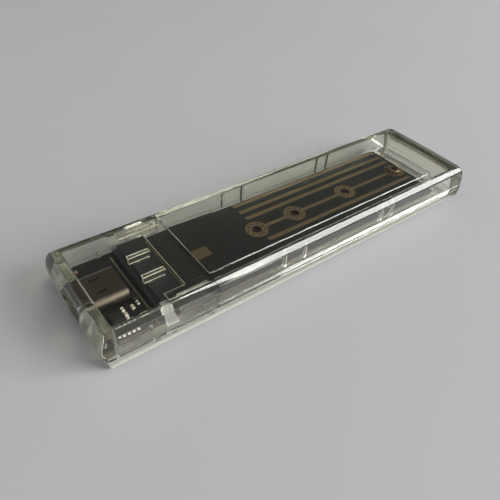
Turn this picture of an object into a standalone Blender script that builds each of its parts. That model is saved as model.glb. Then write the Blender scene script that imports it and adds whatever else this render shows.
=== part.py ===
# Clear slide-open enclosure for an M.2 card, with a USB-C port at its left end.
# Three clear mouldings hold a black board: a low tray, a head cover fixed over the port end,
# and a lid that slides off along +X on two rails of the tray.
# Frame: origin at the middle of the underside, +X away from the port, +Z up, metres.
# The card's standard hole positions set the scale, so X places are given from the card datum,
# the point in the socket from which 30, 42, 60 and 80 mm cards are measured.

import math

import bmesh
import bpy
from mathutils import Vector

MM = 0.001

# Overall shell
LENGTH = 112.0
WIDTH = 27.8
LID_TOP = 10.2
HEAD_TOP = 9.8
PARTING = 2.5
PARTING_GAP = 0.2
END_TO_DATUM = 16.5
DATUM_X = END_TO_DATUM - LENGTH / 2
SPLIT_AT = 9.3
SPLIT_GAP = 0.25

# Outer form of the shell: each end is nosed in side view, furthest out at its own height
PORT_NOSE_Z = 5.6
PORT_NOSE_TOP = 1.6
PORT_NOSE_FOOT = 1.1
PORT_CORNER_R = 0.8
PORT_EDGE_R = 0.3
FAR_NOSE_Z = 3.0
FAR_NOSE_TOP = 3.3
FAR_NOSE_FOOT = 0.4
FAR_CORNER_R = 1.5
FAR_EDGE_R = 0.7
END_BOW = 0.2
MIN_CORNER_R = 0.25
SIDE_EDGE_R = 1.2
FOOT_EDGE_R = 0.6

# Walls
SIDE_WALL = 1.9
PORT_WALL = 3.4
END_WALL = 4.4
END_DRAFT = 1.8
FLOOR = 1.2
HEAD_ROOF = 1.0
LID_ROOF = 1.1
INNER_R = 1.0
PORT_INNER_BOW = 0.05
END_INNER_BOW = 0.5

# Raised panel of the lid, with the gentle shoulder round it
PANEL_HALF = 10.5
PANEL_END_AT = 82.7
PANEL_BOW = 0.25
PANEL_STEP = 0.25
PANEL_FLARE = 0.25
PANEL_R = 2.2
SHOULDER_DROP = 0.1

# Clearances
FIT = 0.3
SLIDE_FIT = 0.15
SOLDER = 0.1

# How far a joined solid runs into its neighbour, and a cutting one past a face
BITE = 0.2
CUT_PAST = 1.0

# Board
BOARD_SPAN = (-12.8, 82.95)
BOARD_HALF = 11.05
BOARD_T = 1.0
BOARD_R = 1.0
BOARD_TOP = 4.6
LAND_RISE = 0.1
TRACK_RISE = 0.07
CARD_LENGTHS = (30.0, 42.0, 60.0, 80.0)
RING_OUTER_R = 2.85
SCREW_HOLE_R = 1.3
STRIPE_W = 1.15
STRIPE_FROM = 30.2
STRIPE_END_MARGIN = 1.2
STRIPE_Y = (10.2, 7.3, 4.6, -4.4, -8.6)
TRACK_W = 1.0
PAD_SPAN = (11.6, 15.56)
PAD_SPAN_Y = (-2.1, 1.05)

# Rails of the tray, each with an outer step, and the lid's runners that slide over the step
RAIL_SPAN = (7.0, 86.5)
RAIL_W = 2.4
STEP_W = 1.2
RUNNER_T = 0.45
RUNNER_LIFT = 0.05
RUNNER_START = 0.4
RUNNER_END_AT = 85.5
RUNNER_LEAD = 1.2
BOARD_STOP_W = 3.0
BOARD_STOP_T = 1.1
BOARD_STOP_FOOT_T = 1.8
BOARD_STOP_Y = 8.3
BOARD_STOP_RISE = 0.3

# Supports and pins at the port end
LEDGE_AT = -9.0
LEDGE_L = 4.0
LEDGE_W = 2.4
LEDGE_R = 0.5
LEDGE_INSET = 0.6
PIN_AT = -5.3
PIN_R = 0.4
PIN_BALL_R = 0.42
PIN_BALL_RISE = 0.17
PIN_RISE = 0.5
PIN_NOTCH_FIT = 0.3

# Snap tabs of the head cover
TAB_AT = (-4.4, -0.7, 8.2)
TAB_L = (0.9, 1.0, 1.4)
TAB_T = 0.6
TAB_DROP = 1.0

# Slanted stops inside the head cover, and the lid's arms with their guide blocks
STOP_TOP_SPAN = (-2.7, -1.1)
STOP_FOOT_SPAN = (-2.0, 0.8)
STOP_DEPTH = 0.7
STOP_FOOT_Z = 3.4
ARM_TIP_AT = -0.7
ARM_INNER_Y = 9.5
GUIDE_SPAN = (1.5, 7.6)
GUIDE_SLANT = 1.7
GUIDE_T = 1.0
GUIDE_SETBACK = 0.05
GUIDE_Z = 5.1
TONGUE_FROM = 4.7
TONGUE_T = 0.7
TONGUE_FIT = 0.2
TONGUE_ROOT_L = 2.0

# Ribs on the lid's side walls
RIB_AT = (28.0, 34.0, 60.0, 64.0)
RIB_W = 0.8
RIB_TIP_W = 0.48
RIB_DEPTH = 0.65
RIB_FOOT_Z = 4.2

# Receptacle
PORT_SPAN = (-14.3, -5.5)
PORT_W = 8.94
PORT_H = 3.2
PORT_R = 1.3
PORT_SHEET = 0.3
PORT_FIT = 0.22
PORT_CORNER_STEPS = 6
SPRING_L = 2.4
SPRING_W = 0.42
SPRING_AT = -10.1
SPRING_Y = 1.9
BLADE_W = 6.69
BLADE_T = 0.7
BLADE_TIP_T = 0.42
BLADE_LEAD = 0.4
BLADE_INSET = 0.5
BLADE_ROOT = 1.6

# Card socket
SOCKET_SPAN = (-2.5, 4.6)
SOCKET_HALF = 10.0
SOCKET_H = 2.15
SOCKET_MOUTH_Z = 0.7
SOCKET_MOUTH_H = 0.95
SOCKET_MOUTH_DEPTH = 4.4
SOCKET_KEY_Y = -6.6
SOCKET_KEY_W = 1.0
SOCKET_STEP_AT = -1.3
SOCKET_STEP = 0.75
SOCKET_STEP_RUN = 0.25
SOCKET_BACK_FALL = 0.1
TAIL_PITCH = 1.0
TAIL_W = 0.45
TAIL_L = 0.7
TAIL_T = 0.15
TAIL_HALF = 9.0

# Bars under the head roof that hold the socket down
BAR_SPAN = (-2.0, 2.8)
BAR_Y = (3.15, -3.45)
BAR_W = 1.0
BAR_FIT = 0.15

# Retaining nut in the longest card's land
NUT_FLANGE_R = 2.1
NUT_FLANGE_T = 0.35
NUT_R = 1.6
CARD_T = 0.8
NUT_BORE_R = 0.9
NUT_SPIGOT_FIT = 0.2
NUT_FOOT_RISE = 0.1
NUT_CHAMFER = 0.12

# Small parts: place in X from the card datum and in Y, then sizes in X, Y and Z
BRIDGE_CHIP = (20.0, 0.0, 7.5, 7.5, 0.9)
FLASH_CHIP = (31.0, 5.2, 5.0, 4.0, 1.5)
CRYSTAL = (12.2, -4.6, 3.2, 2.5, 0.75)
INDUCTOR = (3.6, 5.5, 4.0, 4.0, 1.8)
REGULATOR_CHIP = (-1.6, 5.2, 3.0, 3.0, 0.9)
ESD_CHIP = (-4.55, -4.0, 1.2, 1.6, 0.6)
PORT_CONTROLLER_CHIP = (-9.9, -7.2, 2.6, 2.6, 0.7)
ACTIVITY_LAMP = (-5.1, -9.45, 1.7, 0.85, 0.55)
CAP_PLACES = ((-7.95, -7.35), (-8.05, -8.35), (-8.0, -5.9), (-6.0, -6.3), (-11.4, -10.1), (-11.4, 8.8))
CAP_SIZE = (0.6, 0.62, 0.5)
LONG_CAPS = (2, 3)
LONG_CAP_D = 1.0
RES_PLACES = ((-10.4, -10.1), (-9.4, -10.1), (-8.4, -10.1), (-7.4, -10.1), (-4.6, -5.7))
RES_SIZE = (0.5, 1.0, 0.35)
CHIP_EDGE = 0.08
SMALL_EDGE = 0.06
COIL_EDGE = 0.25


def clear_scene():
    for item in list(bpy.data.objects):
        bpy.data.objects.remove(item, do_unlink=True)


def material(name, color, rough, metal=0.0, alpha=1.0, glassy=0.0):
    mat = bpy.data.materials.new(name)
    mat.use_nodes = True
    shader = mat.node_tree.nodes["Principled BSDF"]
    shader.inputs["Base Color"].default_value = (*color, 1.0)
    shader.inputs["Roughness"].default_value = rough
    shader.inputs["Metallic"].default_value = metal
    shader.inputs["Alpha"].default_value = alpha
    shader.inputs["Transmission Weight"].default_value = glassy
    return mat


def new_object(name, bm, mat=None, parent=None):
    bmesh.ops.recalc_face_normals(bm, faces=bm.faces)
    mesh = bpy.data.meshes.new(name)
    bm.to_mesh(mesh)
    bm.free()
    obj = bpy.data.objects.new(name, mesh)
    bpy.context.scene.collection.objects.link(obj)
    if mat is not None:
        mesh.materials.append(mat)
    if parent is not None:
        obj.parent = parent
    return obj


def loft(loops):
    """Skin a stack of equal closed loops (mm) and cap both ends."""
    bm = bmesh.new()
    rings = [[bm.verts.new(Vector(p) * MM) for p in loop] for loop in loops]
    for low, high in zip(rings, rings[1:]):
        for i in range(len(low)):
            j = (i + 1) % len(low)
            bm.faces.new((low[i], low[j], high[j], high[i]))
    bm.faces.new(list(reversed(rings[0])))
    bm.faces.new(rings[-1])
    return bm


def extrude(outline, start, end, axis):
    """Prism of a closed outline (mm): axis Z takes (x, y), axis X (y, z), axis Y (x, z)."""
    def place(p, t):
        if axis == "Z":
            return (p[0], p[1], t)
        if axis == "X":
            return (t, p[0], p[1])
        return (p[0], t, p[1])
    return loft([[place(p, start) for p in outline], [place(p, end) for p in outline]])


def box(x0, x1, y0, y1, z0, z1):
    return extrude([(x0, y0), (x1, y0), (x1, y1), (x0, y1)], z0, z1, "Z")


def rounded(w, h, r, n=4, cx=0.0, cy=0.0):
    """Outline of a rectangle with round corners."""
    r = min(r, 0.499 * w, 0.499 * h)
    pts = []
    for sx, sy, a0 in ((1, 1, 0), (-1, 1, 90), (-1, -1, 180), (1, -1, 270)):
        for k in range(n + 1):
            a = math.radians(a0 + 90 * k / n)
            pts.append((cx + sx * (w / 2 - r) + r * math.cos(a), cy + sy * (h / 2 - r) + r * math.sin(a)))
    return pts


def circle(r, n=32, cx=0.0, cy=0.0, turn=0.0):
    """Outline of a circle, its first corner turned by a share of one step."""
    pts = []
    for k in range(n):
        a = 2 * math.pi * (k + turn) / n
        pts.append((cx + r * math.cos(a), cy + r * math.sin(a)))
    return pts


def turned(profile, steps=32):
    """Solid of revolution round Z from (radius, z) points, closed when the profile closes."""
    bm = bmesh.new()
    rings = []
    for r, z in profile:
        if r < 1e-6:
            rings.append([bm.verts.new(Vector((0, 0, z)) * MM)])
            continue
        ring = []
        for k in range(steps):
            a = 2 * math.pi * k / steps
            ring.append(bm.verts.new(Vector((r * math.cos(a), r * math.sin(a), z)) * MM))
        rings.append(ring)
    bored = len(rings[0]) > 1 and len(rings[-1]) > 1
    pairs = list(zip(rings, rings[1:])) + ([(rings[-1], rings[0])] if bored else [])
    for a, b in pairs:
        for k in range(steps):
            m = (k + 1) % steps
            if len(a) == 1:
                bm.faces.new((a[0], b[m], b[k]))
            elif len(b) == 1:
                bm.faces.new((a[k], a[m], b[0]))
            else:
                bm.faces.new((a[k], a[m], b[m], b[k]))
    return bm


def moved(bm, x=0.0, y=0.0, z=0.0):
    bmesh.ops.translate(bm, verts=bm.verts, vec=Vector((x, y, z)) * MM)
    return bm


def apply_boolean(obj, tool_bm, operation):
    """Join a tool to an object, or cut it from it, with the exact solver."""
    tool = new_object(obj.name + "_tool", tool_bm)
    mod = obj.modifiers.new("boolean", "BOOLEAN")
    mod.operation = operation
    mod.solver = "EXACT"
    mod.object = tool
    bpy.context.view_layer.update()
    result = bpy.data.meshes.new_from_object(obj.evaluated_get(bpy.context.evaluated_depsgraph_get()))
    obj.modifiers.clear()
    old = obj.data
    obj.data = result
    result.name = obj.name
    bpy.data.objects.remove(tool, do_unlink=True)
    bpy.data.meshes.remove(old)


def join(obj, bm):
    apply_boolean(obj, bm, "UNION")


def cut(obj, bm):
    apply_boolean(obj, bm, "DIFFERENCE")


def smooth(obj, angle=32.0):
    obj.data.shade_smooth()
    obj.data.set_sharp_from_angle(angle=math.radians(angle))


def along(places):
    """X of places that are given from the card datum."""
    return tuple(DATUM_X + place for place in places)


# Limits of the shell, and the places along X that follow the card datum
X_LEFT = -LENGTH / 2
X_RIGHT = LENGTH / 2
HALF_W = WIDTH / 2
INNER_HALF = HALF_W - SIDE_WALL
INNER_X0 = X_LEFT + PORT_WALL
INNER_X1 = X_RIGHT - END_WALL
SPLIT_X = DATUM_X + SPLIT_AT
BOARD_X0, BOARD_X1 = along(BOARD_SPAN)
PORT_X0, PORT_X1 = along(PORT_SPAN)
SOCKET_X0, SOCKET_X1 = along(SOCKET_SPAN)
RAIL_X0, RAIL_X1 = along(RAIL_SPAN)
BAR_X0, BAR_X1 = along(BAR_SPAN)
TONGUE_X, ARM_TIP_X = along((TONGUE_FROM, ARM_TIP_AT))
PIN_X, LEDGE_X = along((PIN_AT, LEDGE_AT))


def end_arc(x_tip, half, bow, r, n_bow=8, n_corner=6):
    """Right-hand end of a plan outline, from -Y to +Y: corner, bowed end, corner."""
    lean = math.atan(2.0 * bow * (half - r) / (half * half))
    y_end = half - r + r * math.sin(lean)
    cx = x_tip - bow * (y_end / half) ** 2 - r * math.cos(lean)
    cy = half - r
    upper = []
    for k in range(n_corner + 1):
        a = lean + (math.pi / 2 - lean) * k / n_corner
        upper.append((cx + r * math.cos(a), cy + r * math.sin(a)))
    lower = [(x, -y) for x, y in reversed(upper)]
    middle = []
    for k in range(1, n_bow):
        y = -y_end + 2 * y_end * k / n_bow
        middle.append((x_tip - bow * (y / half) ** 2, y))
    return lower + middle + upper


def left_arc(x_tip, half, bow, r):
    return [(-x, -y) for x, y in end_arc(-x_tip, half, bow, r)]


def nose(z, nose_z, top, foot):
    """How far an end face stands back from its tip at height z."""
    if z > nose_z:
        return top * ((z - nose_z) / (LID_TOP - nose_z)) ** 2
    return foot * math.sin(0.5 * math.pi * (nose_z - z) / nose_z) ** 2


def edge_inset(z, top, r_top):
    """Inset of the outline by the rounded top and foot edges."""
    if z > top - r_top:
        d = min(z - (top - r_top), r_top)
        return r_top - math.sqrt(r_top * r_top - d * d)
    if z < FOOT_EDGE_R:
        d = FOOT_EDGE_R - z
        return FOOT_EDGE_R - math.sqrt(max(FOOT_EDGE_R ** 2 - d * d, 0.0))
    return 0.0


def top_levels(top, start, n_wall=5, n_edge=5):
    """Heights from the parting line up, closer together on the rounded top edge."""
    wall = top - SIDE_EDGE_R
    levels = [start + (wall - start) * k / n_wall for k in range(n_wall)]
    return levels + [wall + SIDE_EDGE_R * math.sin(0.5 * math.pi * k / n_edge) for k in range(n_edge + 1)]


def far_side(z, top):
    """Plan of the far end at height z, and the half width there."""
    side = edge_inset(z, top, SIDE_EDGE_R)
    tip = X_RIGHT - nose(z, FAR_NOSE_Z, FAR_NOSE_TOP, FAR_NOSE_FOOT) - edge_inset(z, top, FAR_EDGE_R)
    half = HALF_W - side
    return end_arc(tip, half, END_BOW, max(FAR_CORNER_R - 0.5 * side, MIN_CORNER_R)), half


def port_side(z, top):
    """Plan of the port end at height z, and the half width there."""
    side = edge_inset(z, top, SIDE_EDGE_R)
    tip = X_LEFT + nose(z, PORT_NOSE_Z, PORT_NOSE_TOP, PORT_NOSE_FOOT) + edge_inset(z, top, PORT_EDGE_R)
    half = HALF_W - side
    return left_arc(tip, half, END_BOW, max(PORT_CORNER_R - 0.5 * side, MIN_CORNER_R)), half


def full_loop(z, top):
    return [(x, y, z) for x, y in far_side(z, top)[0] + port_side(z, top)[0]]


def lid_loop(z, top):
    far, half = far_side(z, top)
    return [(x, y, z) for x, y in far + [(SPLIT_X, half), (SPLIT_X, -half)]]


def head_loop(z, top):
    port, half = port_side(z, top)
    edge = SPLIT_X - SPLIT_GAP
    return [(x, y, z) for x, y in port + [(edge, -half), (edge, half)]]


def panel_loop(z, grow):
    """Outline of the raised panel, grown outwards by a little at its foot."""
    right = end_arc(DATUM_X + PANEL_END_AT + grow, PANEL_HALF + grow, PANEL_BOW, PANEL_R + grow)
    half = PANEL_HALF + grow
    return [(x, y, z) for x, y in right + [(SPLIT_X, half), (SPLIT_X, -half)]]


clear_scene()

CLEAR = material("clear_polycarbonate", (0.80, 0.79, 0.72), 0.06, 0.0, 0.35, 0.9)
BOARD_BLACK = material("black_solder_mask", (0.022, 0.022, 0.021), 0.45)
STEEL = material("plated_steel", (0.42, 0.39, 0.34), 0.32, 1.0)
SOCKET_BLACK = material("black_socket_plastic", (0.030, 0.031, 0.032), 0.4)
BRASS = material("brass", (0.70, 0.52, 0.26), 0.3, 1.0)
CHIP_BLACK = material("chip_resin", (0.020, 0.020, 0.022), 0.5)
CERAMIC = material("capacitor_ceramic", (0.34, 0.25, 0.17), 0.5)
RESISTOR_DARK = material("resistor_body", (0.03, 0.03, 0.035), 0.4)
LAMP = material("lamp_resin", (0.75, 0.70, 0.50), 0.3)
FERRITE = material("inductor_ferrite", (0.11, 0.11, 0.12), 0.55)
CAN = material("crystal_can", (0.55, 0.54, 0.52), 0.25, 1.0)

base_body = bpy.data.objects.new("base_body", None)
bpy.context.scene.collection.objects.link(base_body)
lid_body = bpy.data.objects.new("lid_body", None)
bpy.context.scene.collection.objects.link(lid_body)
lid_body.location = Vector((SPLIT_X, 0.0, PARTING)) * MM
lid_body.parent = base_body


def ride_lid(obj):
    """Hang a moving piece on the lid's own empty without moving it."""
    obj.parent = lid_body
    obj.location = -lid_body.location
    return obj


# Tray: a shallow shell with the outer form below the parting line
n_edge = 3
foot_levels = [FOOT_EDGE_R * (1 - math.cos(0.5 * math.pi * k / n_edge)) for k in range(n_edge + 1)]
wall_levels = [0.5 * (FOOT_EDGE_R + PARTING), PARTING]
tray = new_object("tray", loft([full_loop(z, LID_TOP) for z in foot_levels + wall_levels]), CLEAR, base_body)
hollow = [(x, y) for x, y in end_arc(INNER_X1, INNER_HALF, END_INNER_BOW, INNER_R)
          + left_arc(INNER_X0, INNER_HALF, PORT_INNER_BOW, INNER_R)]
cut(tray, extrude(hollow, FLOOR, PARTING + CUT_PAST, "Z"))

# Rails: the board's seat, with a low step outside it for the lid's runners
board_under = BOARD_TOP - BOARD_T
rail_top = board_under - FIT
rail_outer = INNER_HALF - FIT
seat_outer = rail_outer - STEP_W
rail_inner = rail_outer - RAIL_W
rail_section = [(rail_inner, FLOOR - BITE), (rail_outer, FLOOR - BITE), (rail_outer, PARTING),
                (seat_outer, PARTING), (seat_outer, rail_top), (rail_inner, rail_top)]
join(tray, extrude(rail_section, RAIL_X0, RAIL_X1, "X"))
join(tray, extrude([(-y, z) for y, z in rail_section], RAIL_X0, RAIL_X1, "X"))

# Board stops behind the far edge of the board
stop_x0 = BOARD_X1 + FIT
for side in (1, -1):
    y = side * BOARD_STOP_Y
    face = [(stop_x0, FLOOR - BITE), (stop_x0 + BOARD_STOP_FOOT_T, FLOOR - BITE),
            (stop_x0 + BOARD_STOP_T, BOARD_TOP + BOARD_STOP_RISE), (stop_x0, BOARD_TOP + BOARD_STOP_RISE)]
    join(tray, extrude(face, y - BOARD_STOP_W / 2, y + BOARD_STOP_W / 2, "Y"))

# Ledges that carry the board beside the port, and ball-headed pins at its edges
pin_y = INNER_HALF - SLIDE_FIT - PIN_BALL_R
for side in (1, -1):
    y = side * (BOARD_HALF - LEDGE_W / 2 - LEDGE_INSET)
    join(tray, moved(extrude(rounded(LEDGE_L, LEDGE_W, LEDGE_R), FLOOR - BITE, rail_top, "Z"), LEDGE_X, y))
    pin_top = BOARD_TOP + PIN_RISE
    turns = [math.radians(degrees) for degrees in range(72, 181, 18)]
    ball = [(PIN_BALL_R * math.sin(a), pin_top + PIN_BALL_RISE - PIN_BALL_R * math.cos(a)) for a in turns]
    pin = [(0.0, FLOOR - BITE), (PIN_R, FLOOR - BITE)] + ball[:-1] + [(0.0, ball[-1][1])]
    join(tray, moved(turned(pin, 12), PIN_X, side * pin_y))

# Pockets in the tray's rim for the head cover's snap tabs
for x, length in zip(along(TAB_AT), TAB_L):
    for side in (1, -1):
        y0, y1 = sorted((side * (INNER_HALF - FIT), side * (INNER_HALF + TAB_T + 2 * SLIDE_FIT)))
        cut(tray, box(x - length / 2 - SLIDE_FIT, x + length / 2 + SLIDE_FIT, y0, y1,
                      PARTING - TAB_DROP - SLIDE_FIT, PARTING + CUT_PAST))

# Head cover: shell over the port end
head_start = PARTING + PARTING_GAP
head = new_object("head_cover", loft([head_loop(z, HEAD_TOP) for z in top_levels(HEAD_TOP, head_start)]),
                  CLEAR, base_body)
head_inner = left_arc(INNER_X0, INNER_HALF, PORT_INNER_BOW, INNER_R)
head_inner += [(SPLIT_X + CUT_PAST, -INNER_HALF), (SPLIT_X + CUT_PAST, INNER_HALF)]
head_ceiling = HEAD_TOP - HEAD_ROOF
cut(head, extrude(head_inner, PARTING - CUT_PAST, head_ceiling, "Z"))

# Port opening
port_z = BOARD_TOP + SOLDER + PORT_H / 2
opening = rounded(PORT_W + 2 * PORT_FIT, PORT_H + 2 * PORT_FIT, PORT_R + PORT_FIT,
                  PORT_CORNER_STEPS, 0.0, port_z)
cut(head, extrude(opening, X_LEFT - CUT_PAST, INNER_X0 + CUT_PAST, "X"))

# Bars under the roof that hold the socket down
bar_foot = BOARD_TOP + SOLDER + SOCKET_H + BAR_FIT
for y in BAR_Y:
    join(head, box(BAR_X0, BAR_X1, y - BAR_W / 2, y + BAR_W / 2, bar_foot, head_ceiling + BITE))

# Slanted stops on the side walls
foot_x0, foot_x1 = along(STOP_FOOT_SPAN)
top_x0, top_x1 = along(STOP_TOP_SPAN)
stop_top = head_ceiling + BITE
stop_face = [(foot_x0, STOP_FOOT_Z), (foot_x1, STOP_FOOT_Z), (top_x1, stop_top), (top_x0, stop_top)]
for side in (1, -1):
    y0, y1 = sorted((side * (INNER_HALF - STOP_DEPTH), side * (INNER_HALF + BITE)))
    join(head, extrude(stop_face, y0, y1, "Y"))

# Snap tabs
for x, length in zip(along(TAB_AT), TAB_L):
    for side in (1, -1):
        y0, y1 = sorted((side * (INNER_HALF + SLIDE_FIT), side * (INNER_HALF + SLIDE_FIT + TAB_T)))
        join(head, box(x - length / 2, x + length / 2, y0, y1, PARTING - TAB_DROP, head_start + BITE))

# Sliding lid: outer form, gentle shoulder and raised panel in one skin
shoulder_z = LID_TOP - PANEL_STEP
edge_top = shoulder_z - SHOULDER_DROP
lid_loops = [lid_loop(z, edge_top) for z in top_levels(edge_top, head_start)]
lid_loops += [panel_loop(shoulder_z, PANEL_FLARE), panel_loop(LID_TOP, 0.0)]
lid = new_object("sliding_lid", loft(lid_loops), CLEAR)
lid_ceiling = LID_TOP - LID_ROOF


def lid_hollow(z):
    """Plan of the lid's hollow, its end drawn in by the draft towards the roof."""
    draft = END_DRAFT * (z - PARTING) / (lid_ceiling - PARTING)
    plan = end_arc(INNER_X1 - draft, INNER_HALF, END_INNER_BOW, INNER_R)
    near_x = SPLIT_X - CUT_PAST
    return [(x, y, z) for x, y in plan + [(near_x, INNER_HALF), (near_x, -INNER_HALF)]]


cut(lid, loft([lid_hollow(PARTING), lid_hollow(lid_ceiling)]))

# Tongue under the head roof, with an arm each side that carries a guide block
tongue_top = head_ceiling - TONGUE_FIT
tongue_low = tongue_top - TONGUE_T
tongue_half = INNER_HALF - FIT
root_x = SPLIT_X + TONGUE_ROOT_L
tongue_section = [(TONGUE_X, tongue_low), (root_x, tongue_low), (root_x, lid_ceiling + BITE),
                  (SPLIT_X, lid_ceiling + BITE), (SPLIT_X, tongue_top), (TONGUE_X, tongue_top)]
join(lid, extrude(tongue_section, -tongue_half, tongue_half, "Y"))
guide_x0, guide_x1 = along(GUIDE_SPAN)
guide_low = [(guide_x0, GUIDE_Z), (guide_x1 + GUIDE_SLANT, GUIDE_Z)]
guide_side = guide_low + [(guide_x1, tongue_low + BITE), (guide_x0, tongue_low + BITE)]
for side in (1, -1):
    y0, y1 = sorted((side * ARM_INNER_Y, side * tongue_half))
    join(lid, box(ARM_TIP_X, TONGUE_X + BITE, y0, y1, tongue_low, tongue_top))
    y0, y1 = sorted((side * (tongue_half - GUIDE_T), side * (tongue_half - GUIDE_SETBACK)))
    join(lid, extrude(guide_side, y0, y1, "Y"))

# Runners along the foot of the side walls, held down by the board's edges
runner_tip = seat_outer + SLIDE_FIT
runner_end = DATUM_X + RUNNER_END_AT
runner_z0 = head_start + RUNNER_LIFT
runner_z1 = runner_z0 + RUNNER_T
for side in (1, -1):
    root_y = side * (INNER_HALF + BITE)
    plan = [(SPLIT_X + RUNNER_LEAD, side * runner_tip), (runner_end - RUNNER_LEAD, side * runner_tip),
            (runner_end, root_y), (SPLIT_X + RUNNER_START, root_y)]
    join(lid, extrude(plan, runner_z0, runner_z1, "Z"))

# Ribs on the side walls
for x in along(RIB_AT):
    for side in (1, -1):
        y_in = side * (INNER_HALF - RIB_DEPTH)
        y_out = side * (INNER_HALF + BITE)
        foot = [(x - RIB_W / 2, y_out), (x + RIB_W / 2, y_out),
                (x + RIB_TIP_W / 2, y_in), (x - RIB_TIP_W / 2, y_in)]
        join(lid, extrude(foot, RIB_FOOT_Z, lid_ceiling + BITE, "Z"))
ride_lid(lid)

# Board, with pin notches, screw holes and raised copper
board_w = BOARD_X1 - BOARD_X0
board_cx = 0.5 * (BOARD_X0 + BOARD_X1)
board = new_object("main_board", extrude(rounded(board_w, 2 * BOARD_HALF, BOARD_R, 4, board_cx),
                                         board_under, BOARD_TOP, "Z"), BOARD_BLACK, base_body)
stripe_x0 = DATUM_X + STRIPE_FROM
stripe_x1 = BOARD_X1 - STRIPE_END_MARGIN
land_low = BOARD_TOP - BITE
land_top = BOARD_TOP + LAND_RISE
track_top = BOARD_TOP + TRACK_RISE
for y in STRIPE_Y:
    join(board, box(stripe_x0, stripe_x1, y - STRIPE_W / 2, y + STRIPE_W / 2, land_low, track_top))
join(board, box(stripe_x0, stripe_x1, -TRACK_W / 2, TRACK_W / 2, land_low, track_top))
join(board, box(*along(PAD_SPAN), *PAD_SPAN_Y, land_low, track_top))
for length in CARD_LENGTHS:
    join(board, extrude(circle(RING_OUTER_R, 36, DATUM_X + length, turn=0.3), land_low, land_top, "Z"))
for length in CARD_LENGTHS:
    hole = circle(SCREW_HOLE_R, 24, DATUM_X + length, turn=0.4)
    cut(board, extrude(hole, board_under - CUT_PAST, land_top + CUT_PAST, "Z"))
for side in (1, -1):
    notch = circle(PIN_R + PIN_NOTCH_FIT, 16, PIN_X, side * pin_y, 0.4)
    cut(board, extrude(notch, board_under - CUT_PAST, land_top + CUT_PAST, "Z"))

# Receptacle shell: a drawn tube closed at the back, open at the port
port_outer = rounded(PORT_W, PORT_H, PORT_R, PORT_CORNER_STEPS, 0.0, port_z)
port_bore = rounded(PORT_W - 2 * PORT_SHEET, PORT_H - 2 * PORT_SHEET, PORT_R - PORT_SHEET,
                    PORT_CORNER_STEPS, 0.0, port_z)
shell = new_object("usb_shell", extrude(port_outer, PORT_X0, PORT_X1, "X"), STEEL, base_body)
cut(shell, extrude(port_bore, PORT_X0 - CUT_PAST, PORT_X1 - PORT_SHEET, "X"))
for side in (1, -1):
    slot = rounded(SPRING_L, SPRING_W, SPRING_W / 2, 4, DATUM_X + SPRING_AT, side * SPRING_Y)
    cut(shell, extrude(slot, port_z, port_z + PORT_H, "Z"))
smooth(shell)

# Receptacle blade: contact tongue on its thicker root block
root_h = PORT_H - 2 * PORT_SHEET - 2 * SOLDER
root_w = PORT_W - 2 * PORT_SHEET - 2 * SOLDER
root_x1 = PORT_X1 - PORT_SHEET - SOLDER
root_x0 = root_x1 - BLADE_ROOT
root = rounded(root_w, root_h, PORT_R - PORT_SHEET - SOLDER, PORT_CORNER_STEPS, 0.0, port_z)
blade = new_object("usb_blade", extrude(root, root_x0, root_x1, "X"), SOCKET_BLACK, base_body)
tip_x = PORT_X0 + BLADE_INSET
tip = [(tip_x, port_z - BLADE_TIP_T / 2), (tip_x + BLADE_LEAD, port_z - BLADE_T / 2),
       (root_x0 + BITE, port_z - BLADE_T / 2), (root_x0 + BITE, port_z + BLADE_T / 2),
       (tip_x + BLADE_LEAD, port_z + BLADE_T / 2), (tip_x, port_z + BLADE_TIP_T / 2)]
join(blade, extrude(tip, -BLADE_W / 2, BLADE_W / 2, "Y"))

# Card socket: stepped housing, card mouth with its key, and one row of tails
socket_z0 = BOARD_TOP + SOLDER
socket_z1 = socket_z0 + SOCKET_H
step_x = DATUM_X + SOCKET_STEP_AT
profile = [(SOCKET_X0, socket_z0), (SOCKET_X1, socket_z0), (SOCKET_X1, socket_z1),
           (step_x, socket_z1), (step_x - SOCKET_STEP_RUN, socket_z1 - SOCKET_STEP),
           (SOCKET_X0, socket_z1 - SOCKET_STEP - SOCKET_BACK_FALL)]
socket = new_object("m2_socket", extrude(profile, -SOCKET_HALF, SOCKET_HALF, "Y"), SOCKET_BLACK, base_body)
mouth_z0 = socket_z0 + SOCKET_MOUTH_Z
mouth_z1 = mouth_z0 + SOCKET_MOUTH_H
key_y0 = SOCKET_KEY_Y - SOCKET_KEY_W / 2
key_y1 = SOCKET_KEY_Y + SOCKET_KEY_W / 2
mouth_x0 = SOCKET_X1 - SOCKET_MOUTH_DEPTH
cut(socket, box(mouth_x0, SOCKET_X1 + CUT_PAST, -TAIL_HALF, key_y0, mouth_z0, mouth_z1))
cut(socket, box(mouth_x0, SOCKET_X1 + CUT_PAST, key_y1, TAIL_HALF, mouth_z0, mouth_z1))
tail_count = int(TAIL_HALF / TAIL_PITCH)
for k in range(-tail_count, tail_count + 1):
    y = k * TAIL_PITCH
    tail = box(SOCKET_X0 - TAIL_L, SOCKET_X0 + BITE, y - TAIL_W / 2, y + TAIL_W / 2,
               socket_z0, socket_z0 + TAIL_T)
    join(socket, tail)

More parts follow.
